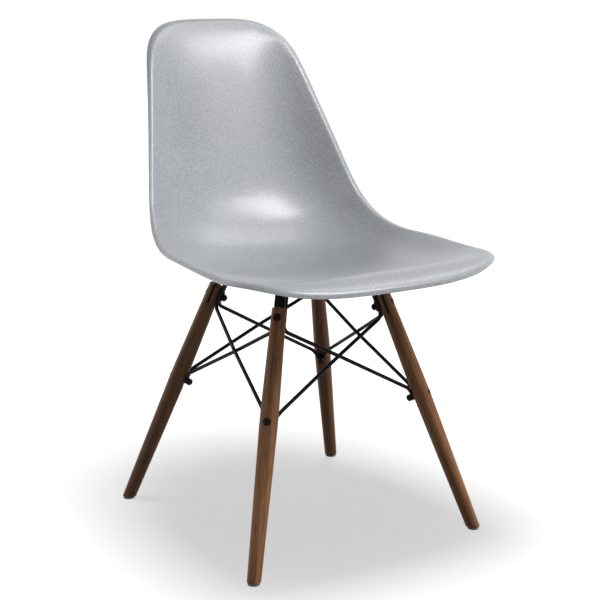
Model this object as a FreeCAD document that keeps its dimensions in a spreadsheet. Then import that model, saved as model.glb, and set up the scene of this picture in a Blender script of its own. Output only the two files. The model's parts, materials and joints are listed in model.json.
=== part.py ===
import FreeCAD, Part
import math
import os
from types import SimpleNamespace

import Sketcher
from FreeCAD import Placement, Rotation, Vector

# A moulded plastic side chair: a one-piece shell, curved both ways and rolled over all round its
# rim, on four tapered wooden legs that eight crossing steel rods brace.
#
# Z is up from the floor, the sitter faces -Y and the sitter's left is +X. The origin is on the
# floor, under the middle of the chair's overall box. Lengths are in millimetres, angles in degrees.

sizes = {
    # The shell's side curve, from the front edge back along the seat and up the back. Its start is
    # so far above the tops of the legs. Each stretch has its length and the angle that it turns by.
    "front_over_legs": 57.3,
    "lip_start": 28.0,
    "lip_length": 57.0,
    "lip_turn": -41.0,
    "seat_length": 173.5,
    "seat_turn": 4.5,
    "bend_length": 294.0,
    "bend_turn": 79.5,
    "back_length": 192.0,
    "back_turn": 1.5,
    "top_length": 67.0,
    "top_turn": -12.0,
    # The shell's half width where the stretches meet, and how far its edges rise above its middle.
    "front_half_width": 222.0,
    "lip_half_width": 226.0,
    "seat_half_width": 222.0,
    "lumbar_half_width": 176.0,
    "shoulder_half_width": 135.0,
    "top_half_width": 125.0,
    "front_dish": 2.5,
    "lip_dish": 10.0,
    "seat_dish": 42.0,
    "lumbar_dish": 41.0,
    "shoulder_dish": 17.0,
    "top_dish": 6.0,
    # The rounded corners of its outline: the length along the side curve, and how square they are.
    "front_corner": 98.0,
    "front_squareness": 3.0,
    "top_corner": 134.0,
    "top_squareness": 4.0,
    "shell_wall": 3.4,
    "rim_roll_radius": 13.0,
    "rim_roll_turn": 62.0,
    # Rubber mounts bonded under the shell, each with a threaded bush.
    "base_setback": 256.0,
    "mount_half_spacing": 73.0,
    "mount_radius": 18.0,
    "mount_thickness": 10.0,
    "mount_bond": 0.2,
    "bush_radius": 6.0,
    "bush_height": 7.0,
    "bush_clearance": 0.1,
    # Legs: turned, thickest at the lower bolt, leaning in towards the middle of the chair. On plan
    # the top of each leg is a bracket's reach out from its rubber mount.
    "bracket_reach": 34.2,
    "leg_tilt": 22.4,
    "leg_length": 415.0,
    "leg_foot_radius": 10.6,
    "leg_radius": 14.1,
    "leg_top_radius": 11.3,
    "leg_swell_start": 232.0,
    "leg_swell_end": 262.0,
    "leg_top_chamfer": 1.5,
    "slot_depth": 32.0,
    "slot_clearance": 0.3,
    # Foot glides with a push-in pin.
    "glide_height": 4.0,
    "glide_radius": 9.6,
    "pin_radius": 2.0,
    "pin_length": 12.0,
    "pin_clearance": 0.2,
    # Leg brackets, bent from flat steel.
    "plate_thickness": 3.0,
    "tongue_width": 16.6,
    "tongue_end_gap": 0.8,
    "bracket_bend": 4.0,
    "pad_width": 32.0,
    "pad_reach": 17.0,
    "pad_corner": 6.0,
    # Bolts, nuts, washers and screws.
    "bolt_radius": 3.0,
    "bolt_clearance": 0.25,
    "bolt_head_radius": 5.5,
    "bolt_head_height": 3.2,
    "bolt_socket": 4.0,
    "bolt_socket_depth": 1.8,
    "bolt_tip": 1.6,
    "recess_radius": 6.2,
    "recess_depth": 3.5,
    "nut_width": 10.0,
    "nut_height": 5.0,
    "washer_thickness": 1.2,
    "washer_radius": 6.0,
    "clamp_thickness": 2.0,
    "clamp_radius": 9.0,
    "upper_bolt_drop": 16.0,
    "lower_bolt_height": 240.0,
    "screw_head_height": 4.0,
    "screw_end_gap": 0.6,
    # Brace rods.
    "rod_radius": 3.0,
    "rod_side": 6.6,
    "rod_clearance": 0.3,
    "rod_bend_drop": 17.0,
    "rod_bend_radius": 12.0,
    "rod_root_radius": 16.0,
    "crossing_gap": 0.4,
    "spot_radius": 15.0,
    "spot_depth": 1.2,
    "eye_radius": 5.5,
    "eye_thickness": 2.5,
    "neck_start": 6.6,
    "neck_back_start": 15.0,
    "neck_half_width": 4.4,
    "neck_end": 17.0,
    "root_length": 6.0,
    "neck_taper_end": 12.4,
    "neck_tip_half_width": 2.0,
}

# How finely the shell's surfaces are laid: points round the rim, rows along each stretch and
# places across a row, and strips in the rolled rim, over and under.
RIM_POINTS = 48
RIM_WRAP = 3
ROW_COUNTS = (8, 4, 8, 4, 5)
POINTS_ACROSS = 13
SHEET_MARGIN = 3.0
CURVE_STEP = 3.0
CORNER_POINTS = 80
OVER_STRIP_COUNT = 3
UNDER_STRIP_COUNT = 2
# How far past a rubber mount the patch reaches that shapes its top, in radii.
MOUNT_PATCH = 1.5

document = FreeCAD.newDocument("shell_chair")
sheet = document.addObject("Spreadsheet::Sheet", "Sizes")
for line, (alias, number) in enumerate(sizes.items(), 1):
    sheet.set("A%d" % line, alias)
    sheet.set("B%d" % line, str(number))
    sheet.setAlias("B%d" % line, alias)
document.recompute()


# Sizes that remember their formula, so that a shape and its binding come from one expression.
class Size(float):
    """A number together with the formula on the sizes sheet that gives it."""

    def __new__(cls, number, formula):
        made = super().__new__(cls, number)
        made.formula = formula
        return made

    def __add__(self, other):
        return Size(float(self) + float(other), "(%s + %s)" % (formula(self), formula(other)))

    def __radd__(self, other):
        return Size(float(other) + float(self), "(%s + %s)" % (formula(other), formula(self)))

    def __sub__(self, other):
        return Size(float(self) - float(other), "(%s - %s)" % (formula(self), formula(other)))

    def __rsub__(self, other):
        return Size(float(other) - float(self), "(%s - %s)" % (formula(other), formula(self)))

    def __mul__(self, other):
        return Size(float(self) * float(other), "(%s * %s)" % (formula(self), formula(other)))

    def __rmul__(self, other):
        return Size(float(other) * float(self), "(%s * %s)" % (formula(other), formula(self)))

    def __truediv__(self, other):
        return Size(float(self) / float(other), "(%s / %s)" % (formula(self), formula(other)))

    def __rtruediv__(self, other):
        return Size(float(other) / float(self), "(%s / %s)" % (formula(other), formula(self)))

    def __neg__(self):
        return Size(-float(self), "(0 - %s)" % formula(self))


def formula(number):
    """The text of a size or of a plain number in a formula."""
    return number.formula if isinstance(number, Size) else "(%r)" % float(number)


def sine(angle):
    return Size(math.sin(math.radians(angle)), "sin(%s)" % formula(angle))


def cosine(angle):
    return Size(math.cos(math.radians(angle)), "cos(%s)" % formula(angle))


def tangent(angle):
    return Size(math.tan(math.radians(angle)), "tan(%s)" % formula(angle))


size = SimpleNamespace(**{alias: Size(sheet.get(alias), "Sizes." + alias) for alias in sizes})

# The legs' lean gives the height of their tops and, from the mounts, the place of their feet.
leg_top_height = size.leg_length * cosine(size.leg_tilt)
foot_half_spread = (size.mount_half_spacing
                    + (size.leg_length * sine(size.leg_tilt) + size.bracket_reach) / math.sqrt(2))

ACROSS = Vector(1, 0, 0)
LATERAL = Vector(0, 1, 0)
UP = Vector(0, 0, 1)
parts = []


def bind(thing, path, number):
    """Tie one property of an object to the sizes sheet."""
    thing.setExpression(path, formula(number))


def kept(thing, label):
    """Name a finished sub-part and add it to those that are written."""
    thing.Label = label
    parts.append(thing)
    return thing


# Sketches and features of the turned, bent and cut pieces.
def sketch_on(body, plane, offset=None, axis=None, angle=None):
    """A sketch on a plane of the body, moved along the plane's normal or turned about an axis."""
    sketch = body.newObject("Sketcher::SketchObject", "outline")
    face = [feature for feature in body.Origin.OriginFeatures if feature.Role == plane][0]
    sketch.AttachmentSupport = [(face, "")]
    sketch.MapMode = "FlatFace"
    turn = Rotation(axis, angle) if axis else Rotation()
    if axis:
        turned = turn.multVec(UP)
        sketch.AttachmentOffset = Placement(turned * (offset or 0.0), turn)
        bind(sketch, "AttachmentOffset.Rotation.Angle", angle)
    elif offset is not None:
        sketch.AttachmentOffset = Placement(UP * offset, turn)
        bind(sketch, "AttachmentOffset.Base.z", offset)
    return sketch


def hold(sketch, shape, point, place):
    """Hold a point of the sketch at its two sizes from the sketch's origin."""
    for kind, axis, distance in (("DistanceX", -2, place[0]), ("DistanceY", -1, place[1])):
        if float(distance) == 0:
            sketch.addConstraint(Sketcher.Constraint("PointOnObject", shape, point, axis))
        else:
            held = Sketcher.Constraint(kind, -1, 1, shape, point, float(distance))
            bind(sketch, "Constraints[%d]" % sketch.addConstraint(held), distance)


def polygon(sketch, places):
    """A closed outline of straight sides through the places."""
    first = sketch.GeometryCount
    count = len(places)
    for place, following in zip(places, places[1:] + places[:1]):
        side = Part.LineSegment(Vector(*place, 0), Vector(*following, 0))
        sketch.addGeometry(side, False)
    for k in range(count):
        sketch.addConstraint(Sketcher.Constraint("Coincident", first + (k - 1) % count, 2, first + k, 1))
        hold(sketch, first + k, 1, places[k])


def circle(sketch, place, radius):
    """A circle of a bound radius at a place."""
    shape = sketch.addGeometry(Part.Circle(Vector(*place, 0), UP, float(radius)), False)
    hold(sketch, shape, 3, place)
    bind(sketch, "Constraints[%d]" % sketch.addConstraint(Sketcher.Constraint("Radius", shape, float(radius))), radius)


def rectangle(sketch, low, high):
    polygon(sketch, [low, (high[0], low[1]), high, (low[0], high[1])])


def hexagon(sketch, width):
    """A hexagon round the sketch's origin, with its width across the flats along X."""
    half = width / 2
    point = width / math.sqrt(3)
    polygon(sketch, [(half, -point / 2), (half, point / 2), (0, point),
                     (-half, point / 2), (-half, -point / 2), (0, -point)])


def pad(body, sketch, length, symmetric=False):
    """Material from a sketch, to one side of it or half to each side."""
    feature = body.newObject("PartDesign::Pad", "pad")
    feature.Profile = sketch
    feature.SideType = "Symmetric" if symmetric else "One side"
    bind(feature, "Length", length)
    document.recompute()
    return feature


def pocket(body, sketch, length, symmetric=False, forward=False):
    """A cut from a sketch, behind it, before it or half to each side."""
    before = body.Shape.Volume
    feature = body.newObject("PartDesign::Pocket", "cut")
    feature.Profile = sketch
    feature.SideType = "Symmetric" if symmetric else "One side"
    feature.Reversed = forward
    bind(feature, "Length", length)
    document.recompute()
    if feature.Shape.Volume > before - 0.1:
        raise RuntimeError("%s: a cut removes nothing" % body.Label)
    return feature


def revolve(body, sketch):
    """A turned solid about the sketch's upright axis."""
    feature = body.newObject("PartDesign::Revolution", "turning")
    feature.Profile = sketch
    feature.ReferenceAxis = (sketch, ["V_Axis"])
    feature.Angle = 360.0
    document.recompute()
    return feature


def round_edges(body, places, radius):
    """Round the edges whose middles lie at the given places."""
    base = body.Tip
    names = []
    for place in places:
        gaps = [(edge.CenterOfMass - place).Length for edge in base.Shape.Edges]
        names.append("Edge%d" % (gaps.index(min(gaps)) + 1))
    feature = body.newObject("PartDesign::Fillet", "rounding")
    feature.Base = (base, names)
    bind(feature, "Radius", radius)
    document.recompute()
    return feature


def new_body(name):
    return document.addObject("PartDesign::Body", name)


def group(label, master, places):
    """Equal small pieces in one node: the master piece, repeated at each place."""
    copies = []
    for place in places:
        copy = document.addObject("App::Link", "copy")
        copy.LinkedObject = master
        copy.Placement = place
        copies.append(copy)
    made = document.addObject("Part::Compound", label)
    made.Links = copies
    return kept(made, label)


# The shell.
def ease(share):
    """Share of a turn that is done after a share of its length, gentle at both ends."""
    share = min(max(share, 0.0), 1.0)
    return share * share * (3 - 2 * share)


class SeatForm:
    """The seat's upper surface: a side curve that carries a dished cross-section.

    A place on it is a distance along the side curve and a distance out from the middle line.
    """

    lengths = (size.lip_length, size.seat_length, size.bend_length, size.back_length, size.top_length)
    turns = (size.lip_turn, size.seat_turn, size.bend_turn, size.back_turn, size.top_turn)
    widths = (size.front_half_width, size.lip_half_width, size.seat_half_width,
              size.lumbar_half_width, size.shoulder_half_width, size.top_half_width)
    dishes = (size.front_dish, size.lip_dish, size.seat_dish,
              size.lumbar_dish, size.shoulder_dish, size.top_dish)

    def __init__(self):
        self.total = float(sum(self.lengths))
        self.stations = [0.0]
        for length in self.lengths:
            self.stations.append(self.stations[-1] + float(length))
        count = round(self.total / CURVE_STEP)
        step = self.total / count
        places = [Vector(0, 0, leg_top_height + size.front_over_legs)]
        for k in range(count):
            places.append(places[-1] + self.along((k + 0.5) * step) * step)
        self.curve = Part.BSplineCurve()
        self.curve.interpolate(Points=places, Parameters=[k * step for k in range(count + 1)])
        self.section = Part.BSplineCurve()
        self.section.interpolate(
            Points=[Vector(width, dish, 0) for width, dish in zip(self.widths, self.dishes)],
            Parameters=self.stations)

    def along(self, distance):
        """Direction of the side curve."""
        heading = float(size.lip_start)
        for start, length, turn in zip(self.stations, self.lengths, self.turns):
            heading += turn * ease((distance - start) / length)
        return Vector(0, math.cos(math.radians(heading)), math.sin(math.radians(heading)))

    def half_width(self, distance):
        return self.section.value(distance).x

    def point(self, distance, out, depth=0.0):
        """A point of the surface, or so deep below it. The edges rise faster and faster outwards."""
        if depth:
            return self.point(distance, out) - self.normal(distance, out) * depth
        inside = min(max(distance, 0.0), self.total)
        along = self.along(inside)
        rise = ACROSS.cross(along)
        width, dish, _ = self.section.value(distance)
        share = out / width
        lift = dish * (0.45 * share ** 2 + 0.55 * share ** 4)
        return self.curve.value(inside) + along * (distance - inside) + rise * lift + ACROSS * out

    def normal(self, distance, out, reach=0.5):
        """Direction square to the surface, on the sitter's side."""
        lengthwise = self.point(distance + reach, out) - self.point(distance - reach, out)
        crosswise = self.point(distance, out + reach) - self.point(distance, out - reach)
        return crosswise.cross(lengthwise).normalize()

    def surface(self, depth):
        """A smooth surface at a depth, a little past the rim, with closer rows at the front lip."""
        rows = [-SHEET_MARGIN]
        for start, length, count in zip(self.stations, self.lengths, ROW_COUNTS):
            rows += [start + float(length) * k / count for k in range(count)]
        rows += [self.total, self.total + SHEET_MARGIN]
        shares = [2.0 * k / (POINTS_ACROSS - 1) - 1 for k in range(POINTS_ACROSS)]
        curves = []
        for row in rows:
            reach = self.half_width(row) + SHEET_MARGIN
            places = [self.point(row, reach * share, depth) for share in shares]
            curves.append(smooth(places, shares))
        return woven(curves, rows)

    def rim(self):
        """Places of the rim where its roll begins, evenly spaced, each with the surface's normal
        and the direction that points outward from the rim."""
        half = []
        for k in range(CORNER_POINTS + 1):
            angle = math.pi / 2 * k / CORNER_POINTS
            square = 2 / size.front_squareness
            half.append((size.front_corner * (1 - math.cos(angle) ** square), math.sin(angle) ** square))
        straight = self.total - size.front_corner - size.top_corner
        for k in range(1, CORNER_POINTS):
            half.append((size.front_corner + straight * k / CORNER_POINTS, 1.0))
        for k in range(CORNER_POINTS, -1, -1):
            angle = math.pi / 2 * k / CORNER_POINTS
            square = 2 / size.top_squareness
            half.append((self.total - size.top_corner * (1 - math.cos(angle) ** square),
                         math.sin(angle) ** square))
        half = [(float(distance), self.half_width(distance) * float(share)) for distance, share in half]
        right = evenly_spaced(half, RIM_POINTS // 2)
        places = right + [(distance, -out) for distance, out in right[-2:0:-1]]
        points = [self.point(*place) for place in places]
        rim = []
        for k, place in enumerate(places):
            normal = self.normal(*place)
            onward = points[(k + 1) % RIM_POINTS] - points[k - 1]
            rim.append((points[k], normal, onward.cross(normal).normalize()))
        return rim

    def distance_under(self, out, depth_back):
        """Distance along the side curve of the underside's place on plan."""
        low, high = 0.0, self.total
        for _ in range(40):
            middle = (low + high) / 2
            if self.point(middle, out, size.shell_wall).y < depth_back:
                low = middle
            else:
                high = middle
        return low

    def height_under(self, out, depth_back):
        """Height of the underside at a place on plan, measured back from the front point."""
        return self.point(self.distance_under(out, depth_back), out, size.shell_wall).z


def evenly_spaced(places, count):
    """Resample a line of places to so many equal steps."""
    distances = [0.0]
    for before, after in zip(places, places[1:]):
        distances.append(distances[-1] + math.dist(before, after))
    spaced = []
    k = 0
    for step in range(count + 1):
        wanted = distances[-1] * step / count
        while k < len(distances) - 2 and distances[k + 1] < wanted:
            k += 1
        share = (wanted - distances[k]) / (distances[k + 1] - distances[k])
        spaced.append(tuple(a + share * (b - a) for a, b in zip(places[k], places[k + 1])))
    return spaced


def smooth(places, parameters):
    """A smooth curve that passes each place at its own parameter."""
    curve = Part.BSplineCurve()
    curve.interpolate(Points=list(places), Parameters=list(parameters))
    return curve


def woven(curves, parameters):
    """A surface through like curves, one at each parameter."""
    columns = [smooth(poles, parameters) for poles in zip(*[curve.getPoles() for curve in curves])]
    surface = Part.BSplineSurface()
    surface.buildFromPolesMultsKnots(
        [column.getPoles() for column in columns],
        curves[0].getMultiplicities(), columns[0].getMultiplicities(),
        curves[0].getKnots(), columns[0].getKnots(), False, False, curves[0].Degree, columns[0].Degree)
    return surface


def loop(places):
    """A smooth closed curve through places round the rim."""
    wrapped = places[-RIM_WRAP:] + places + places[:RIM_WRAP + 1]
    curve = smooth(wrapped, range(-RIM_WRAP, RIM_POINTS + RIM_WRAP + 1))
    curve.segment(0.0, float(RIM_POINTS))
    return curve


def strip(first, second):
    """A strip of surface between two loops round the rim."""
    return woven([loop(first), loop(second)], [0.0, 1.0]).toShape()


def trimmed(surface, places):
    """The part of a surface inside a loop that lies on it."""
    face = Part.Face(surface, Part.Wire([loop(places).toShape()]))
    face.validate()
    return face


def laid_on(surface, place):
    """The point of a surface nearest to a place."""
    return surface.value(*surface.parameter(place))


def shell_solid(form):
    """The moulding: two curved skins a wall apart, joined by a rim that rolls over and down."""
    wall = float(size.shell_wall)
    roll = float(size.rim_roll_radius)
    turn = math.radians(size.rim_roll_turn)
    rim = form.rim()

    def rolled(surface, depth, strips):
        """Loops from the rim's edge round the roll, so deep below its outer side."""
        loops = [[laid_on(surface, place - normal * depth) for place, normal, outward in rim]]
        for k in range(1, strips + 1):
            angle = turn * k / strips
            loops.append([place - normal * roll
                          + (outward * math.sin(angle) + normal * math.cos(angle)) * (roll - depth)
                          for place, normal, outward in rim])
        return loops

    upper = form.surface(0.0)
    lower = form.surface(wall)
    over = rolled(upper, 0.0, OVER_STRIP_COUNT)
    under = rolled(lower, wall, UNDER_STRIP_COUNT)
    faces = [trimmed(upper, over[0]), trimmed(lower, under[0]), strip(over[-1], under[-1])]
    faces += [strip(first, second) for first, second in zip(over, over[1:])]
    faces += [strip(first, second) for first, second in zip(under, under[1:])]
    skin = Part.makeCompound(faces)
    skin.sewShape()
    solid = Part.Solid(skin.Shells[0])
    if solid.Volume < 0:
        solid.reverse()
    return solid


seat_form = SeatForm()
seat_shell = document.addObject("Part::Feature", "seat_shell")
seat_shell.Shape = shell_solid(seat_form)
shell_box = seat_shell.Shape.BoundBox
shell_front = -(shell_box.YMin + shell_box.YMax) / 2
seat_shell.Placement = Placement(LATERAL * shell_front, Rotation())
kept(seat_shell, "seat_shell")

# Where things are on plan. The legs stand on a square whose middle lies behind the shell's front.
corners = {"front_left": (1, -1), "front_right": (-1, -1), "rear_right": (-1, 1), "rear_left": (1, 1)}
legs_middle = shell_front + float(size.base_setback)


def mount_place(corner):
    """Middle of a rubber mount on plan, with the height of the bracket's pad that it stands on."""
    side, depth = corners[corner]
    reach = float(size.mount_half_spacing)
    under = seat_form.height_under(reach, size.base_setback + depth * reach)
    return Vector(side * reach, legs_middle + depth * reach, under - size.mount_thickness)


def upright_frame(corner):
    """Frame of a foot: origin on the floor on the leg's axis, X level and inward, Z up."""
    side, depth = corners[corner]
    spread = float(foot_half_spread)
    inward = math.degrees(math.atan2(-depth, -side))
    return Placement(Vector(side * spread, legs_middle + depth * spread, 0), Rotation(UP, inward))


def leg_frame(corner):
    """Frame of a leg: the same origin, Z up along the leg, X inward and square to it."""
    return upright_frame(corner) * Placement(Vector(), Rotation(LATERAL, size.leg_tilt))


def facing_in(corner, height, inward):
    """Frame on a leg, so far up it and in from its axis, with Z pointing inward along a bolt."""
    return leg_frame(corner) * Placement(Vector(inward, 0, height), Rotation(LATERAL, 90))


# Rubber mounts and their bushes.
def shock_mount(corner):
    """A rubber disc, its top moulded to the shell's underside, with a hole for the bush."""
    place = mount_place(corner)
    rubber = document.addObject("Part::Cylinder", "rubber")
    bind(rubber, "Radius", size.mount_radius)
    bind(rubber, "Height", size.mount_thickness * 2)
    rubber.Placement = Placement(place, Rotation())
    cavity = document.addObject("Part::Cylinder", "cavity")
    bind(cavity, "Radius", size.bush_radius + size.bush_clearance)
    bind(cavity, "Height", size.bush_height)
    cavity.Placement = Placement(place, Rotation())
    space = document.addObject("Part::Feature", "space_above")
    space.Shape = space_above(corner)
    space.Placement = Placement(UP * -size.mount_bond + LATERAL * shell_front, Rotation())
    moulded = document.addObject("Part::Cut", "moulded")
    moulded.Base = rubber
    moulded.Tool = space
    mount = document.addObject("Part::Cut", corner + "_shock_mount")
    mount.Base = moulded
    mount.Tool = cavity
    return kept(mount, corner + "_shock_mount")


def space_above(corner):
    """Everything above the shell's underside round a mount."""
    side, depth = corners[corner]
    reach = float(size.mount_radius) * MOUNT_PATCH
    middle = float(seat_form.distance_under(
        size.mount_half_spacing, size.base_setback + depth * size.mount_half_spacing))
    steps = [reach * share for share in (-1, 0, 1)]
    rows = [middle + step for step in steps]
    outs = [side * float(size.mount_half_spacing) + step for step in steps]
    curves = [smooth([seat_form.point(row, out, size.shell_wall) for out in outs], outs) for row in rows]
    return woven(curves, rows).toShape().extrude(UP * (size.mount_thickness * 3))


for corner in corners:
    shock_mount(corner)

bush = new_body("bush")
outline = sketch_on(bush, "XY_Plane")
circle(outline, (0, 0), size.bush_radius)
circle(outline, (0, 0), size.bolt_radius + size.bolt_clearance)
pad(bush, outline, size.bush_height)
group("mount_bushes", bush, [Placement(mount_place(corner), Rotation()) for corner in corners])


# Legs.
upper_bolt_height = size.leg_length - size.upper_bolt_drop
cone_length = size.leg_length - size.leg_swell_end


def upper_radius(height):
    """Radius of a leg at a height along it, above its swell."""
    narrowing = size.leg_radius - size.leg_top_radius
    return size.leg_radius - narrowing * (height - size.leg_swell_end) / cone_length


upper_recess = upper_radius(upper_bolt_height) - size.recess_depth
lower_recess = size.leg_radius - size.recess_depth
joint_face = size.leg_radius - size.spot_depth


def leg(corner):
    """A turned leg: its foot cut level, its top slotted for the bracket, drilled for two bolts."""
    body = new_body(corner + "_leg")
    below = size.leg_foot_radius * tangent(size.leg_tilt)
    outline = sketch_on(body, "XZ_Plane")
    polygon(outline, [
        (0, -below), (size.leg_foot_radius, -below),
        (size.leg_radius, size.leg_swell_start), (size.leg_radius, size.leg_swell_end),
        (size.leg_top_radius, size.leg_length - size.leg_top_chamfer),
        (size.leg_top_radius - size.leg_top_chamfer, size.leg_length), (0, size.leg_length)])
    revolve(body, outline)

    side = size.leg_foot_radius * 2
    fall = side * sine(size.leg_tilt)
    level = sketch_on(body, "XZ_Plane")
    polygon(level, [
        (-side, (size.glide_height - fall) / cosine(size.leg_tilt)), (-side, -side * 2),
        (side, -side * 2), (side, (size.glide_height + fall) / cosine(size.leg_tilt))])
    pocket(body, level, side * 2, symmetric=True)

    half_slot = size.plate_thickness / 2 + size.slot_clearance
    slot = sketch_on(body, "XZ_Plane")
    rectangle(slot, (-half_slot, size.leg_length - size.slot_depth),
              (half_slot, size.leg_length + size.slot_clearance))
    pocket(body, slot, size.leg_radius * 4, symmetric=True)

    holes = sketch_on(body, "YZ_Plane")
    for height in (upper_bolt_height, size.lower_bolt_height):
        circle(holes, (0, height), size.bolt_radius + size.bolt_clearance)
    pocket(body, holes, size.leg_radius * 4, symmetric=True)
    for height, floor in ((upper_bolt_height, upper_recess), (size.lower_bolt_height, lower_recess)):
        recess = sketch_on(body, "YZ_Plane", offset=-floor)
        circle(recess, (0, height), size.recess_radius)
        pocket(body, recess, size.leg_radius)
    spot = sketch_on(body, "YZ_Plane", offset=joint_face)
    circle(spot, (0, size.lower_bolt_height), size.spot_radius)
    pocket(body, spot, size.leg_radius, forward=True)

    pin_hole = sketch_on(body, "XY_Plane")
    circle(pin_hole, (0, 0), size.pin_radius + size.pin_clearance)
    pocket(body, pin_hole, size.glide_height / cosine(size.leg_tilt) + size.pin_length
           + size.pin_clearance, forward=True)
    body.Placement = leg_frame(corner)
    return kept(body, corner + "_leg")


def foot_glide(corner):
    """A disc on the floor, with the pin that is pushed up the leg's axis."""
    body = new_body(corner + "_foot_glide")
    disc = sketch_on(body, "XY_Plane")
    middle = size.glide_height * tangent(size.leg_tilt) / 2
    circle(disc, (middle, 0), size.glide_radius)
    pad(body, disc, size.glide_height)
    start = size.glide_height / cosine(size.leg_tilt) / 2
    pin = sketch_on(body, "XY_Plane", offset=start, axis=LATERAL, angle=size.leg_tilt)
    circle(pin, (0, 0), size.pin_radius)
    pad(body, pin, start + size.pin_length)
    body.Placement = upright_frame(corner)
    return kept(body, corner + "_foot_glide")


def leg_bracket(corner):
    """A strip bent from the leg's slope to the level, with a wider pad for the rubber mount."""
    body = new_body(corner + "_leg_bracket")
    top = float(mount_place(corner).z)
    half = size.plate_thickness / 2
    slope = tangent(size.leg_tilt)
    foot = size.leg_length - size.slot_depth + size.tongue_end_gap
    inner_bend = (top - size.plate_thickness) * slope + half / cosine(size.leg_tilt)
    outer_bend = top * slope - half / cosine(size.leg_tilt)
    seat_screw = (foot_half_spread - size.mount_half_spacing) * math.sqrt(2)
    end = seat_screw + size.pad_reach
    across = half * cosine(size.leg_tilt)
    down = half * sine(size.leg_tilt)
    foot_in = foot * sine(size.leg_tilt)
    foot_up = foot * cosine(size.leg_tilt)

    strip_side = sketch_on(body, "XZ_Plane")
    polygon(strip_side, [
        (foot_in - across, foot_up + down), (foot_in + across, foot_up - down),
        (inner_bend, top - size.plate_thickness), (end, top - size.plate_thickness),
        (end, top), (outer_bend, top)])
    pad(body, strip_side, size.tongue_width, symmetric=True)
    round_edges(body, [Vector(inner_bend, 0, top - size.plate_thickness)], size.bracket_bend)
    round_edges(body, [Vector(outer_bend, 0, top)], size.bracket_bend + size.plate_thickness)

    plate = sketch_on(body, "XY_Plane", offset=top - size.plate_thickness)
    start = inner_bend + size.bracket_bend
    rectangle(plate, (start, -size.pad_width / 2), (end, size.pad_width / 2))
    pad(body, plate, size.plate_thickness)
    middle = top - half
    round_edges(body, [Vector(x, y, middle) for x in (start, end)
                       for y in (-size.pad_width / 2, size.pad_width / 2)], size.pad_corner)

    screw_hole = sketch_on(body, "XY_Plane", offset=top)
    circle(screw_hole, (seat_screw, 0), size.bolt_radius + size.bolt_clearance)
    pocket(body, screw_hole, size.plate_thickness * 4, symmetric=True)
    bolt_hole = sketch_on(body, "YZ_Plane", axis=ACROSS, angle=size.leg_tilt)
    circle(bolt_hole, (0, upper_bolt_height), size.bolt_radius + size.bolt_clearance)
    pocket(body, bolt_hole, size.plate_thickness * 4, symmetric=True)
    body.Placement = upright_frame(corner)
    return kept(body, corner + "_leg_bracket")


for corner in corners:
    leg(corner)
    foot_glide(corner)
    leg_bracket(corner)


# Brace rods. Each has a flattened eye on the lower bolt of one leg, crosses the other rod of its
# side and runs up the inner face of the next leg to the pad above.
rod_bend_height = upper_bolt_height - size.rod_bend_drop
rod_inward = math.sqrt((upper_radius(rod_bend_height) + size.rod_radius + size.rod_clearance) ** 2
                       - size.rod_side ** 2)
round_the_base = list(corners)


def pad_underside(corner):
    return mount_place(corner).z - size.plate_thickness


def rod_places(lower, upper, way):
    """A rod's places before it is bowed, and the frame of its eye: X along the bolt, Z along the rod."""
    low, high = leg_frame(lower), leg_frame(upper)
    bend = high.multVec(Vector(rod_inward, -way * size.rod_side, rod_bend_height))
    aim = low.inverse().multVec(bend)
    lean = math.degrees(math.atan2(aim.y, aim.z - size.lower_bolt_height))
    level = joint_face + size.eye_thickness * (0.5 if way > 0 else 1.5)
    eye = low * Placement(Vector(level, 0, size.lower_bolt_height), Rotation(ACROSS, -lean))
    reach = (pad_underside(upper) + rod_inward * sine(size.leg_tilt)) / cosine(size.leg_tilt)
    return SimpleNamespace(
        eye=eye, root=eye.multVec(UP * (size.eye_radius / 2)), bend=bend,
        turn=eye.multVec(UP * (size.neck_end + size.root_length)),
        top=high.multVec(Vector(rod_inward, -way * size.rod_side, reach + size.rod_radius * 2)))


def crossing(lower, upper, way):
    """Where a rod passes the other rod of its side: the one with the near eye goes outside."""
    apart = leg_frame(upper).Base - leg_frame(lower).Base
    halfway = (leg_frame(upper).Base + leg_frame(lower).Base) / 2
    meets = Vector()
    for start, end, sense in ((lower, upper, way), (upper, lower, -way)):
        rod = rod_places(start, end, sense)
        run = rod.bend - rod.turn
        meets += (rod.turn + run * ((halfway - rod.turn).dot(apart) / run.dot(apart))) / 2
    rod = rod_places(lower, upper, way)
    outward = apart.cross(rod.bend - rod.turn).normalize()
    if outward.dot(halfway - Vector(0, legs_middle, 0)) < 0:
        outward = -outward
    return meets + outward * (way * (size.rod_radius + size.crossing_gap / 2))


MITRED = 1


def bent_wire(places, radii):
    """Straight runs through the places, joined by tangent arcs, or mitred where a radius is 0."""
    edges = []
    start = places[0]
    for before, corner, after, radius in zip(places, places[1:], places[2:], radii):
        arriving = (corner - before).normalize()
        leaving = (after - corner).normalize()
        half_turn = arriving.getAngle(leaving) / 2
        first = corner - arriving * (radius * math.tan(half_turn))
        last = corner + leaving * (radius * math.tan(half_turn))
        edges.append(Part.LineSegment(start, first).toShape())
        if radius:
            inside = (leaving - arriving).normalize()
            middle = corner + inside * (radius / math.cos(half_turn) - radius)
            edges.append(Part.Arc(first, middle, last).toShape())
        start = last
    edges.append(Part.LineSegment(start, places[-1]).toShape())
    return Part.Wire(edges)


def prism(direction, length, places):
    """A straight-sided block from a flat outline, half of its length to each side of the outline."""
    outline = Part.Face(Part.makePolygon([place - direction * (length / 2) for place in places + places[:1]]))
    return outline.extrude(direction * length)


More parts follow.
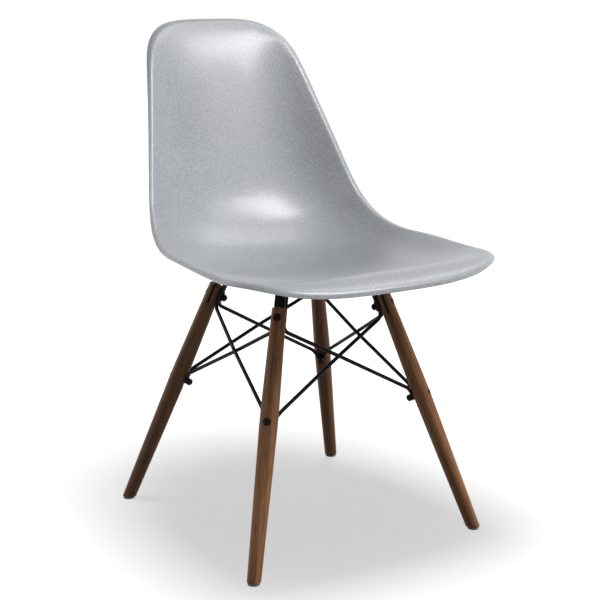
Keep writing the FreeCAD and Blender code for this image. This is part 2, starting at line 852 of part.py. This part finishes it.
def rod_eye():
    """The flattened end, along Z from the bolt: a round eye and a flat that narrows into the rod."""
    thickness = float(size.eye_thickness)
    eye = Part.makeCylinder(size.eye_radius, thickness, ACROSS * (-thickness / 2), ACROSS)
    wide, narrow = float(size.neck_half_width), float(size.neck_tip_half_width)
    start, end = float(size.neck_start), float(size.neck_taper_end)
    flat = prism(ACROSS, thickness, [
        Vector(0, -wide, 0), Vector(0, wide, 0), Vector(0, wide, start),
        Vector(0, narrow, end), Vector(0, -narrow, end), Vector(0, -wide, start)])
    return eye.fuse(flat)


def beside_neck(side, start):
    """What is pressed away on one side of the rod's end, down to the thickness of the eye."""
    face = side * size.eye_thickness / 2
    slope = (size.rod_radius - size.eye_thickness / 2) / (size.neck_end - size.neck_start)
    end = start + (size.rod_radius - size.eye_thickness / 2) / slope
    return prism(LATERAL, size.eye_radius * 4, [
        Vector(face, 0, -size.eye_radius), Vector(face, 0, start),
        Vector(side * size.rod_radius, 0, end), Vector(side * size.rod_radius * 2, 0, end),
        Vector(side * size.rod_radius * 2, 0, -size.eye_radius)])


def brace(lower, upper, way):
    """One rod, shaped in the frame of the leg that carries its eye."""
    home = leg_frame(lower).inverse()
    rod = rod_places(lower, upper, way)
    places = [rod.root, rod.turn, crossing(lower, upper, way), rod.bend, rod.top]
    places = [home.multVec(place) for place in places]
    path = bent_wire(places, [size.rod_root_radius, 0, size.rod_bend_radius])
    ring = Part.Circle(places[0], places[1] - places[0], size.rod_radius).toShape()
    shaft = path.makePipeShell([Part.Wire([ring])], True, False, MITRED)
    eye = rod_eye()
    eye.Placement = home * rod.eye
    for side, start in ((-1, size.neck_back_start), (1, size.neck_start)):
        pressed = beside_neck(side, start)
        pressed.Placement = home * rod.eye
        shaft = shaft.cut(pressed)
    reach = float(size.leg_length)
    above = Part.makeBox(reach, reach, reach, Vector(-reach / 2, -reach / 2, 0))
    above.Placement = home * Placement(
        Vector(rod.top.x, rod.top.y, pad_underside(upper)), Rotation()) * above.Placement
    hole = Part.makeCylinder(size.bolt_radius + size.bolt_clearance, size.eye_thickness * 4,
                             ACROSS * (-size.eye_thickness * 2), ACROSS)
    hole.Placement = home * rod.eye * hole.Placement
    words = lower.split("_"), upper.split("_")
    side = [word for word in words[0] if word in words[1]][0]
    rising = [word for word in words[1] if word != side][0]
    made = document.addObject("Part::Feature", "%s_brace_rising_%s" % (side, rising))
    made.Shape = shaft.fuse(eye).cut(above).cut(hole).removeSplitter()
    made.Placement = leg_frame(lower)
    return kept(made, made.Name)


for k, corner in enumerate(round_the_base):
    brace(corner, round_the_base[(k + 1) % 4], 1)
    brace(corner, round_the_base[k - 1], -1)


# Bolts, nuts, washers and seat screws, each along Z with its head below the origin.
def bolt(name, head_height, length):
    """A headed screw with a hexagonal socket."""
    body = new_body(name)
    outline = sketch_on(body, "XZ_Plane")
    polygon(outline, [
        (0, -head_height), (size.bolt_head_radius, -head_height), (size.bolt_head_radius, 0),
        (size.bolt_radius, 0), (size.bolt_radius, length), (0, length)])
    revolve(body, outline)
    socket = sketch_on(body, "XY_Plane", offset=-head_height)
    hexagon(socket, size.bolt_socket)
    pocket(body, socket, size.bolt_socket_depth, forward=True)
    return body


def washer(name, radius, thickness):
    body = new_body(name)
    outline = sketch_on(body, "XY_Plane")
    circle(outline, (0, 0), radius)
    circle(outline, (0, 0), size.bolt_radius + size.bolt_clearance)
    pad(body, outline, thickness)
    return body


def nut(name):
    body = new_body(name)
    outline = sketch_on(body, "XY_Plane")
    hexagon(outline, size.nut_width)
    circle(outline, (0, 0), size.bolt_radius + size.bolt_clearance)
    pad(body, outline, size.nut_height)
    return body


def at_joints(height, inward):
    return [facing_in(corner, height, inward) for corner in corners]


clamp_face = rod_inward + size.rod_radius
clamp_back = clamp_face + size.clamp_thickness
upper_length = upper_recess + clamp_back + size.nut_height + size.bolt_tip
group("upper_leg_bolts", bolt("upper_bolt", size.bolt_head_height, upper_length),
      at_joints(upper_bolt_height, -upper_recess))
group("upper_leg_washers", washer("clamp_washer", size.clamp_radius, size.clamp_thickness),
      at_joints(upper_bolt_height, clamp_face))
group("upper_leg_nuts", nut("upper_nut"), at_joints(upper_bolt_height, clamp_back))

eyes_face = joint_face + size.eye_thickness * 2
lower_back = eyes_face + size.washer_thickness
lower_length = lower_recess + lower_back + size.nut_height + size.bolt_tip
group("lower_leg_bolts", bolt("lower_bolt", size.bolt_head_height, lower_length),
      at_joints(size.lower_bolt_height, -lower_recess))
group("lower_leg_washers", washer("joint_washer", size.washer_radius, size.washer_thickness),
      at_joints(size.lower_bolt_height, eyes_face))
group("lower_leg_nuts", nut("lower_nut"), at_joints(size.lower_bolt_height, lower_back))

washer_places = []
screw_places = []
for corner in corners:
    mount = mount_place(corner)
    mount.z = pad_underside(corner) - size.washer_thickness
    washer_places.append(Placement(Vector(mount), Rotation()))
    screw_places.append(Placement(Vector(mount), Rotation()))
screw_length = size.washer_thickness + size.plate_thickness + size.bush_height - size.screw_end_gap
group("seat_screw_washers", washer("screw_washer", size.washer_radius, size.washer_thickness),
      washer_places)
group("seat_screws", bolt("seat_screw", size.screw_head_height, screw_length), screw_places)

# Every object and every finished piece is sound before anything is written.
document.recompute()
for thing in document.Objects:
    if "Invalid" in thing.State or "Error" in thing.State:
        raise RuntimeError("%s failed: %s" % (thing.Label, thing.State))
for part in parts:
    if part.Shape.isNull() or not part.Shape.isValid() or part.Shape.Volume <= 0:
        raise RuntimeError("%s has no sound shape" % part.Label)

os.makedirs("parts", exist_ok=True)
for part in parts:
    part.Shape.exportStep("parts/%s.step" % part.Label)
print("%d sub-parts written" % len(parts))
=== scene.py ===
# %% [markdown]
# # A moulded shell chair
# The chair is a one-piece moulded seat on four turned wooden legs, braced by eight black steel
# rods. Its measured pieces come in as a frame, and this lesson dresses them: a smooth, finely
# speckled shell, walnut legs with their grain, satin black steel, rubber and pale foot glides.
# The pieces are right in shape and place, so they could be given materials as they are. They are
# copied instead, because a copy can have its sharp edges softened.

# %% Load the measured chair
import json
import math

import bpy
from mathutils import Matrix, Vector


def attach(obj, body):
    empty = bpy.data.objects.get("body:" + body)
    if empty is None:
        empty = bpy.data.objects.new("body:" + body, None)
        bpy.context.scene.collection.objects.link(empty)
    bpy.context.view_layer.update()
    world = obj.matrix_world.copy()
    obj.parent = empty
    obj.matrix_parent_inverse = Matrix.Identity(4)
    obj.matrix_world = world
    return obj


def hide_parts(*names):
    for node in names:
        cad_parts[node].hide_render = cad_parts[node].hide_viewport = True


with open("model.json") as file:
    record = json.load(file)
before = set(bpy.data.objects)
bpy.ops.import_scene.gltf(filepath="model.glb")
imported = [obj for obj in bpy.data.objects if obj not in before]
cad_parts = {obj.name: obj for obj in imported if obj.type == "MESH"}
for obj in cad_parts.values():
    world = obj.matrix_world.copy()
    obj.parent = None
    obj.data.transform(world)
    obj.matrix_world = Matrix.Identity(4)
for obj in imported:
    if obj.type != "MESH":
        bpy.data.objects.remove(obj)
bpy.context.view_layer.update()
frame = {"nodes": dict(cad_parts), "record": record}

nodes = frame["nodes"]
slot_of = {part["node"]: part["material_slot"] for part in frame["record"]["subparts"]}

# %% [markdown]
# ## The camera
# A studio picture of a chair is taken from far off with a long lens, so that the legs don't
# splay. A short lens close by would fill the frame too, but it widens what is near. This camera
# stands to the chair's right and a little above the seat, and leans by half a degree, as one on
# a tripod does.

# %% Camera
CAMERA_TARGET = Vector((0.0027, -0.0138, 0.3647))
CAMERA_AZIMUTH = math.radians(-32.79)
CAMERA_ELEVATION = math.radians(13.19)
CAMERA_DISTANCE = 2.3297
CAMERA_ROLL = math.radians(0.5)
FOCAL_LENGTH_MM = 86.4
SENSOR_WIDTH_MM = 36.0

away = Vector((math.sin(CAMERA_AZIMUTH) * math.cos(CAMERA_ELEVATION),
               -math.cos(CAMERA_AZIMUTH) * math.cos(CAMERA_ELEVATION),
               math.sin(CAMERA_ELEVATION)))
camera_data = bpy.data.cameras.new("camera")
camera_data.lens = FOCAL_LENGTH_MM
camera_data.sensor_width = SENSOR_WIDTH_MM
camera = bpy.data.objects.new("camera", camera_data)
camera.location = CAMERA_TARGET + away * CAMERA_DISTANCE
level = (-away).to_track_quat("-Z", "Y").to_matrix()
camera.rotation_euler = (level @ Matrix.Rotation(CAMERA_ROLL, 3, "Z")).to_euler()
bpy.context.scene.collection.objects.link(camera)
bpy.context.scene.camera = camera
bpy.context.scene.view_settings.view_transform = "Standard"
print("camera at", [round(x, 3) for x in camera.location])

# %% [markdown]
# ## Helpers for materials
# A material is a tree of nodes. Most of its lines would only make a node, set its values and
# join it to the next, so a few short helpers do that. They take the tree that they add to.


# %% An empty material and its nodes
def new_material(name):
    """An empty material with its node tree, its output and its main shader."""
    material = bpy.data.materials.new(name)
    material.use_nodes = True
    tree = material.node_tree
    tree.nodes.clear()
    output = tree.nodes.new("ShaderNodeOutputMaterial")
    shader = tree.nodes.new("ShaderNodeBsdfPrincipled")
    tree.links.new(shader.outputs[0], output.inputs[0])
    return material, tree, shader


def join(tree, source, target):
    """A link from one socket to another."""
    tree.links.new(source, target)


def give(tree, value, socket):
    """A value for a socket: a link where it comes from another socket, or else a plain number."""
    if isinstance(value, bpy.types.NodeSocket):
        join(tree, value, socket)
    else:
        socket.default_value = value


def node(tree, kind, **values):
    """A node with its settings and with values for its inputs by name."""
    made = tree.nodes.new("ShaderNode" + kind)
    for name, value in values.items():
        if hasattr(made, name):
            setattr(made, name, value)
        else:
            made.inputs[name.replace("_", " ")].default_value = value
    return made


def object_place(tree):
    """Coordinates that are fixed to the piece, in metres."""
    return tree.nodes.new("ShaderNodeTexCoord").outputs["Object"]


# %% Ramps, mixes and sums
def grey(level):
    """A grey of one level."""
    return [level] * 3


def ramp(tree, source, stops):
    """A colour ramp over a value: stops are places with colours or greys."""
    made = tree.nodes.new("ShaderNodeValToRGB")
    elements = made.color_ramp.elements
    while len(elements) < len(stops):
        elements.new(0.5)
    for element, (place, colour) in zip(elements, stops):
        element.position = place
        element.color = colour if len(colour) == 4 else (*colour, 1.0)
    join(tree, source, made.inputs["Fac"])
    return made.outputs["Color"]


def mixed(tree, share, first, second, blend="MIX"):
    """Two colours or sockets mixed by a share."""
    made = tree.nodes.new("ShaderNodeMix")
    made.data_type = "RGBA"
    made.blend_type = blend
    for index, value in ((0, share), (6, first), (7, second)):
        give(tree, value, made.inputs[index])
    return made.outputs[2]


def times(tree, first, second):
    """One colour laid over another as a tint."""
    return mixed(tree, 1.0, first, second, "MULTIPLY")


def reckon(tree, operation, first, second):
    """Arithmetic on two values or sockets."""
    made = tree.nodes.new("ShaderNodeMath")
    made.operation = operation
    for socket, value in zip(made.inputs, (first, second)):
        give(tree, value, socket)
    return made.outputs[0]


print("material helpers are ready")

# %% [markdown]
# ## White floor and backdrop
# The chair stands on white paper. Bright lamps would make the paper white, but they would bleach
# the chair too. So the lamps stay low, and what the camera sees of the paper is lifted towards
# white, more so far from the chair, until floor and backdrop are one. The lift is seen directly
# and in reflections only, so it throws no light on the chair, and the shadow stays.


# %% What is seen directly
def seen_share(tree):
    """One for what is seen, reflected or seen through glass, and nothing for soft light."""
    path = tree.nodes.new("ShaderNodeLightPath")
    seen = reckon(tree, "MAXIMUM", path.outputs["Is Camera Ray"], path.outputs["Is Glossy Ray"])
    return reckon(tree, "MAXIMUM", seen, path.outputs["Is Transmission Ray"])


# %% Paper floor
FLOOR_SIZE = 14.0
FLOOR_GREY = 0.85
FLOOR_ROUGHNESS = 0.9
FLOOR_SPECULAR = 0.1
LIFT_UNDER_CHAIR = 0.56
LIFT_FAR_OFF = 0.97
LIFT_STARTS_AT = 0.14
LIFT_ENDS_AT = 0.90

bpy.ops.object.select_all(action="DESELECT")
bpy.ops.mesh.primitive_plane_add(size=FLOOR_SIZE, location=(0, 0, 0))
floor = bpy.context.active_object
floor.name = "studio_floor"
paper, tree, shader = new_material("paper_floor")
shader.inputs["Base Color"].default_value = (FLOOR_GREY, FLOOR_GREY, FLOOR_GREY, 1)
shader.inputs["Roughness"].default_value = FLOOR_ROUGHNESS
shader.inputs["Specular IOR Level"].default_value = FLOOR_SPECULAR
from_middle = node(tree, "VectorMath", operation="LENGTH")
join(tree, object_place(tree), from_middle.inputs[0])
lift = node(tree, "MapRange", interpolation_type="SMOOTHSTEP", From_Min=LIFT_STARTS_AT,
            From_Max=LIFT_ENDS_AT, To_Min=LIFT_UNDER_CHAIR, To_Max=LIFT_FAR_OFF)
join(tree, from_middle.outputs["Value"], lift.inputs["Value"])
shader.inputs["Emission Color"].default_value = (1, 1, 1, 1)
join(tree, reckon(tree, "MULTIPLY", seen_share(tree), lift.outputs["Result"]),
     shader.inputs["Emission Strength"])
floor.data.materials.append(paper)
print("floor:", FLOOR_SIZE, "m square")

# %% White backdrop
SOFT_LIGHT = 0.05

world = bpy.data.worlds.new("studio")
bpy.context.scene.world = world
world.use_nodes = True
tree = world.node_tree
tree.nodes.clear()
backdrop = tree.nodes.new("ShaderNodeBackground")
world_output = tree.nodes.new("ShaderNodeOutputWorld")
join(tree, backdrop.outputs[0], world_output.inputs[0])
backdrop.inputs["Color"].default_value = (1, 1, 1, 1)
shown = reckon(tree, "MULTIPLY", seen_share(tree), 1.0 - SOFT_LIGHT)
join(tree, reckon(tree, "ADD", shown, SOFT_LIGHT), backdrop.inputs["Strength"])
print("backdrop: white where it is seen, soft light", SOFT_LIGHT)

# %% [markdown]
# ## Lamps
# Softboxes light the chair as in a studio. The key stands high on the right in front, where it
# draws one highlight on the upper back and one in the bend of the seat. A lamp at the side
# lights the right side of each leg, and it makes no highlight. One straight above belongs to the
# floor alone and draws the chair's shadow around its feet. The others leave the floor out, or
# each of them would add a shadow of its own.


# %% Which things a lamp lights
def lit_things(name, state):
    """A light-linking set with the floor in it: lit alone (INCLUDE) or left out (EXCLUDE)."""
    lit = bpy.data.collections.new(name)
    lit.objects.link(floor)
    lit.collection_objects[0].light_linking.link_state = state
    return lit


floor_alone = lit_things("floor_alone", "INCLUDE")
all_but_floor = lit_things("all_but_floor", "EXCLUDE")

# %% Soft lamps
CHAIR_MIDDLE = (0, 0, 0.5)
SEAT_MIDDLE = (0, 0, 0.4)
LEGS_HEIGHT = (0, 0, 0.3)
SHELL_HEIGHT = (0, 0, 0.6)
FLOOR_MIDDLE = (0, -0.014, 0)


def softbox(name, place, aim, width, height, watts, lit=all_but_floor, mirrored=True):
    """A rectangular lamp that faces a point and lights one set of things."""
    data = bpy.data.lights.new(name, "AREA")
    data.shape = "RECTANGLE"
    data.size = width
    data.size_y = height
    data.energy = watts
    lamp = bpy.data.objects.new(name, data)
    lamp.location = place
    lamp.rotation_euler = (Vector(aim) - Vector(place)).to_track_quat("-Z", "Y").to_euler()
    bpy.context.scene.collection.objects.link(lamp)
    lamp.light_linking.receiver_collection = lit
    lamp.visible_glossy = mirrored


softbox("floor_box", (0, -0.014, 2.5), FLOOR_MIDDLE, 0.7, 0.7, 25, lit=floor_alone)
softbox("top_box", (1.3, -0.1, 2.4), SEAT_MIDDLE, 0.9, 0.9, 11)
softbox("key_box", (1.10, -1.52, 2.36), CHAIR_MIDDLE, 0.50, 1.0, 40)
softbox("side_box", (2.3, -0.9, 1.2), LEGS_HEIGHT, 0.8, 0.8, 26, mirrored=False)
softbox("left_box", (-1.5, -2.0, 1.9), SHELL_HEIGHT, 0.5, 1.0, 4)
softbox("back_box", (-1.2, 2.2, 1.5), CHAIR_MIDDLE, 1.2, 1.2, 34)

# %% [markdown]
# ## Dressing a measured piece
# Each measured piece is a bag of loose triangles. It could be shaded as it is, but its edges
# would look cut with a knife. So a copy is merged, flat faces are joined into one, each sharp
# edge gets a fine rounding that catches the light as a real edge does, and what is left is
# shaded smooth.

# %% A copy with softened edges
SHARP = math.radians(32)
FLAT = math.radians(0.2)
SAME_POINT = 1e-6
EDGE_RINGS = 2


def dressed(node_name, material, edge_round=0.0):
    """A merged copy of a measured piece, with rounded edges and its material."""
    bpy.ops.object.select_all(action="DESELECT")
    piece = bpy.data.objects.new(node_name + "_piece", nodes[node_name].data.copy())
    bpy.context.scene.collection.objects.link(piece)
    bpy.context.view_layer.objects.active = piece
    piece.select_set(True)
    bpy.ops.object.mode_set(mode="EDIT")
    bpy.ops.mesh.select_all(action="SELECT")
    bpy.ops.mesh.remove_doubles(threshold=SAME_POINT)
    bpy.ops.mesh.customdata_custom_splitnormals_clear()
    bpy.ops.mesh.dissolve_limited(angle_limit=FLAT)
    bpy.ops.object.mode_set(mode="OBJECT")
    if edge_round:
        bevel = piece.modifiers.new("edges", "BEVEL")
        bevel.width = edge_round
        bevel.segments = EDGE_RINGS
        bevel.limit_method = "ANGLE"
        bevel.angle_limit = SHARP
        bevel.use_clamp_overlap = True
        bpy.ops.object.modifier_apply(modifier=bevel.name)
    bpy.ops.object.shade_smooth_by_angle(angle=SHARP)
    piece.data.materials.clear()
    piece.data.materials.append(material)
    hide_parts(node_name)
    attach(piece, "root")
    return piece


print("edges sharper than", round(math.degrees(SHARP)), "degrees are rounded")

# %% [markdown]
# ## Shared effects
# Plastic, steel and rubber all show the same small things: a fine mottle, a broad cloudiness and
# a fine relief. They could be written out in each material. Built once as a node group and
# placed with other values, they stay alike and are mended in one place.


# %% Building and placing a node group
def new_group(name, inputs, outputs):
    """A shader node group with named inputs and outputs."""
    group = bpy.data.node_groups.new(name, "ShaderNodeTree")
    for label, kind, value in inputs:
        socket = group.interface.new_socket(label, in_out="INPUT", socket_type=kind)
        if value is not None:
            socket.default_value = value
    for label in outputs:
        group.interface.new_socket(label, in_out="OUTPUT", socket_type="NodeSocketFloat")
    start = group.nodes.new("NodeGroupInput")
    end = group.nodes.new("NodeGroupOutput")
    return group, start.outputs, end.inputs


def place_group(tree, group, **values):
    """A group placed in a tree, with values for its inputs by name."""
    made = tree.nodes.new("ShaderNodeGroup")
    made.node_tree = group
    for name, value in values.items():
        give(tree, value, made.inputs[name.replace("_", " ")])
    return made.outputs


# %% Node group: mottle
HALF_SPREAD = 0.25

mottle, given, result = new_group(
    "mottle",
    [("Place", "NodeSocketVector", None), ("Fine", "NodeSocketFloat", 700.0),
     ("Broad", "NodeSocketFloat", 12.0), ("Contrast", "NodeSocketFloat", 0.5)],
    ["Fine mask", "Broad mask", "Relief"])
fine = node(mottle, "TexNoise", Detail=3.0, Roughness=0.6)
broad = node(mottle, "TexNoise", Detail=2.0, Roughness=0.5)
for noise, label in ((fine, "Fine"), (broad, "Broad")):
    join(mottle, given["Place"], noise.inputs["Vector"])
    join(mottle, given[label], noise.inputs["Scale"])
spread = mottle.nodes.new("ShaderNodeMapRange")
join(mottle, fine.outputs["Fac"], spread.inputs["Value"])
for operation, label in (("SUBTRACT", "From Min"), ("ADD", "From Max")):
    width = reckon(mottle, "MULTIPLY", given["Contrast"], HALF_SPREAD)
    join(mottle, reckon(mottle, operation, 0.5, width), spread.inputs[label])
join(mottle, spread.outputs["Result"], result["Fine mask"])
join(mottle, broad.outputs["Fac"], result["Broad mask"])
join(mottle, fine.outputs["Fac"], result["Relief"])
print("mottle:", len(mottle.nodes), "nodes")

# %% [markdown]
# ## The shell's plastic
# The seat is moulded with short glass strands in it. Close up, pale threads and darker flecks lie
# in all directions under a thin smooth skin, so the colour is a blue-grey that is never quite
# even. One noise gives only round flecks. Noise that is stretched along a direction gives
# threads, and four directions laid over each other give the tangle. The gloss is soft and broad,
# from a thin coat over a duller body.

# %% Node group: strands
STRAND_FINE = 900.0
STRAND_ALONG = 90.0
STRAND_STARTS = 0.58
STRAND_FULL = 0.70

strands, given, result = new_group(
    "strands", [("Place", "NodeSocketVector", None), ("Turn", "NodeSocketVector", None)], ["Mask"])
turned = strands.nodes.new("ShaderNodeMapping")
join(strands, given["Place"], turned.inputs["Vector"])
join(strands, given["Turn"], turned.inputs["Rotation"])
turned.inputs["Scale"].default_value = (STRAND_FINE, STRAND_FINE, STRAND_ALONG)
thread = node(strands, "TexNoise", Scale=1.0, Detail=1.0, Roughness=0.4)
join(strands, turned.outputs[0], thread.inputs["Vector"])
ridge = node(strands, "MapRange", From_Min=STRAND_STARTS, From_Max=STRAND_FULL)
join(strands, thread.outputs["Fac"], ridge.inputs["Value"])
join(strands, ridge.outputs["Result"], result["Mask"])
print("strands:", len(strands.nodes), "nodes")

# %% Speckled plastic
SHELL_MID = (0.385, 0.402, 0.425, 1)
SHELL_DARK = (0.255, 0.270, 0.292, 1)
SHELL_PALE = (0.560, 0.575, 0.595, 1)
STRAND_TURNS = ((0.5, 0.2, 0.0), (1.3, 0.9, 0.4), (0.1, 1.4, 1.1), (2.2, 0.5, 2.0))
STRAND_SHARE = 0.45
SHELL_COAT = 0.45
SHELL_COAT_ROUGHNESS = 0.22

shell_plastic, tree, shader = new_material("shell_plastic")
where = object_place(tree)
grain = place_group(tree, mottle, Place=where, Fine=300.0, Broad=9.0, Contrast=0.9)
colour = mixed(tree, grain["Fine mask"], SHELL_DARK, SHELL_MID)
for turn in STRAND_TURNS:
    threads = place_group(tree, strands, Place=where, Turn=turn)
    share = reckon(tree, "MULTIPLY", threads["Mask"], STRAND_SHARE)
    colour = mixed(tree, share, colour, SHELL_PALE)
cloud = ramp(tree, grain["Broad mask"], [(0.3, grey(0.93)), (0.7, grey(1.04))])
join(tree, times(tree, colour, cloud), shader.inputs["Base Color"])
rough = ramp(tree, grain["Relief"], [(0.3, grey(0.36)), (0.7, grey(0.48))])
join(tree, rough, shader.inputs["Roughness"])
shader.inputs["Coat Weight"].default_value = SHELL_COAT
shader.inputs["Coat Roughness"].default_value = SHELL_COAT_ROUGHNESS
bump = node(tree, "Bump", Strength=0.25, Distance=0.0002)
join(tree, grain["Relief"], bump.inputs["Height"])
join(tree, bump.outputs[0], shader.inputs["Normal"])
print("plastic:", len(tree.nodes), "nodes")

# %% The shell
shell = dressed("seat_shell", shell_plastic)
print("shell faces:", len(shell.data.polygons))

# %% [markdown]
# ## Walnut legs
# Each leg is turned from one stick of walnut, so its grain runs along it. A pattern on the
# chair's own axes would cut across the leaning legs at a slant. So the pattern is turned into
# each leg's direction: long dark streaks, fine pores, and a slow change of tone. Each leg is
# also darkened by a factor of its own, which is painted shade: the two rear legs, which the
# seat shades, are the darkest.

# %% Node group: wood grain
GRAIN = (("Streak", (95.0, 95.0, 3.2), 5.0), ("Pore", (900.0, 900.0, 28.0), 2.0),
         ("Tone", (16.0, 16.0, 2.2), 1.5))

wood, given, result = new_group(
    "wood_grain", [("Place", "NodeSocketVector", None)], ["Streak", "Pore", "Tone"])
for label, stretch, detail in GRAIN:
    stretched = wood.nodes.new("ShaderNodeMapping")
    stretched.inputs["Scale"].default_value = stretch
    join(wood, given["Place"], stretched.inputs["Vector"])
    veins = node(wood, "TexNoise", Scale=1.0, Detail=detail, Roughness=0.6, Distortion=0.4)
    join(wood, stretched.outputs[0], veins.inputs["Vector"])
    join(wood, veins.outputs["Fac"], result[label])
print("wood grain:", len(wood.nodes), "nodes")

# %% A leg's wood
LEG_TILT = math.radians(22.4)
FOOT_SPREAD = 0.209
LEGS_MIDDLE = -0.0138
STICK_SHIFT_BY_SIDE = 0.7
STICK_SHIFT_BY_DEPTH = 1.3
WALNUT_DARK = (0.105, 0.045, 0.018, 1)
WALNUT_MID = (0.265, 0.122, 0.054, 1)
WALNUT_PALE = (0.420, 0.215, 0.103, 1)
WALNUT_SPECULAR = 0.25


def along_leg(tree, side, depth):
    """Coordinates whose Z runs up the leg at a corner, each leg at its own place in the grain."""
    inward = math.atan2(-depth, -side)
    foot = Vector((side * FOOT_SPREAD, LEGS_MIDDLE + depth * FOOT_SPREAD, 0))
    stand = (Matrix.Translation(foot) @ Matrix.Rotation(inward, 4, "Z")
             @ Matrix.Rotation(LEG_TILT, 4, "Y"))
    back = stand.inverted()
    shift = STICK_SHIFT_BY_SIDE * side + STICK_SHIFT_BY_DEPTH * depth
    along = tree.nodes.new("ShaderNodeMapping")
    along.inputs["Location"].default_value = back.to_translation() + Vector((0, 0, shift))
    along.inputs["Rotation"].default_value = back.to_euler()
    join(tree, object_place(tree), along.inputs["Vector"])
    return along.outputs[0]


def walnut(name, side, depth, painted_leg_shade):
    """Walnut whose grain follows a leg that stands at the given corner, darkened by the leg's
    painted shade.
    """
    material, tree, shader = new_material(name)
    grain = place_group(tree, wood, Place=along_leg(tree, side, depth))
    colour = ramp(tree, grain["Streak"],
                  [(0.30, WALNUT_DARK), (0.50, WALNUT_MID), (0.72, WALNUT_PALE)])
    # The leg's factor darkens the whole tone ramp. This is painted shade, deepest on the rear
    # legs.
    low, high = 0.78 * painted_leg_shade, 1.15 * painted_leg_shade
    tone = ramp(tree, grain["Tone"], [(0.3, grey(low)), (0.7, [high, high * 0.98, high * 0.95])])
    pores = ramp(tree, grain["Pore"], [(0.34, (0.45, 0.42, 0.40)), (0.46, (1, 1, 1))])
    join(tree, times(tree, times(tree, colour, tone), pores), shader.inputs["Base Color"])
    rough = ramp(tree, grain["Streak"], [(0.3, grey(0.66)), (0.7, grey(0.54))])
    join(tree, rough, shader.inputs["Roughness"])
    bump = node(tree, "Bump", Strength=0.35, Distance=0.0002)
    join(tree, grain["Pore"], bump.inputs["Height"])
    join(tree, bump.outputs[0], shader.inputs["Normal"])
    shader.inputs["Specular IOR Level"].default_value = WALNUT_SPECULAR
    return material


# %% The legs
LEG_EDGE = 0.0005
# The third number of each corner darkens that leg's wood as painted shade. The rear legs, shaded
# by the seat, get the lowest.
LEG_CORNERS_AND_SHADE = {"front_left": (1, -1, 0.85), "front_right": (-1, -1, 1.0),
          "rear_right": (-1, 1, 0.55), "rear_left": (1, 1, 0.65)}

for corner, (side, depth, painted_leg_shade) in LEG_CORNERS_AND_SHADE.items():
    stick = walnut("walnut_" + corner, side, depth, painted_leg_shade)
    leg = dressed(corner + "_leg", stick, edge_round=LEG_EDGE)
    print(corner, "leg faces:", len(leg.data.polygons))

# %% [markdown]
# ## Black steel, rubber and glides
# The rods, brackets and bolts are satin black, with a skin that is slightly uneven in colour,
# gloss and relief. A plain black would look like a hole in the picture. The mounts are dull
# black rubber, and the glides under the feet are pale grey plastic. All are the same finish with
# other values: how light it is, how rough, how fine its grain, and how deep its relief.

# %% Steel, rubber and glide finishes
SMALL_PIECE_EDGE = 0.0003
SATIN_SPECULAR = 0.1
SATIN_CLOUDS = 40.0


def satin(name, tint, roughness, fine, relief):
    """A satin finish of one grey, slightly uneven in colour, gloss and relief."""
    material, tree, shader = new_material(name)
    grain = place_group(tree, mottle, Place=object_place(tree), Fine=fine, Broad=SATIN_CLOUDS,
                        Contrast=0.8)
    colour = ramp(tree, grain["Broad mask"], [(0.3, grey(tint * 0.8)), (0.7, grey(tint * 1.25))])
    join(tree, colour, shader.inputs["Base Color"])
    rough = ramp(tree, grain["Relief"],
                 [(0.3, grey(roughness * 0.85)), (0.7, grey(roughness * 1.15))])
    join(tree, rough, shader.inputs["Roughness"])
    bump = node(tree, "Bump", Strength=0.3, Distance=relief)
    join(tree, grain["Relief"], bump.inputs["Height"])
    join(tree, bump.outputs[0], shader.inputs["Normal"])
    shader.inputs["Specular IOR Level"].default_value = SATIN_SPECULAR
    return material


finishes = {
    "rod_steel": satin("rod_steel", 0.005, 0.42, 900.0, 0.0001),
    "bracket_steel": satin("bracket_steel", 0.005, 0.45, 700.0, 0.0001),
    "fastener_steel": satin("fastener_steel", 0.006, 0.36, 1200.0, 0.00005),
    "mount_rubber": satin("mount_rubber", 0.010, 0.80, 500.0, 0.0002),
    "glide_plastic": satin("glide_plastic", 0.420, 0.50, 600.0, 0.0001),
}

# %% Rods, brackets, fasteners, mounts and glides
for name, slot_name in slot_of.items():
    if slot_name in finishes:
        dressed(name, finishes[slot_name], edge_round=SMALL_PIECE_EDGE)
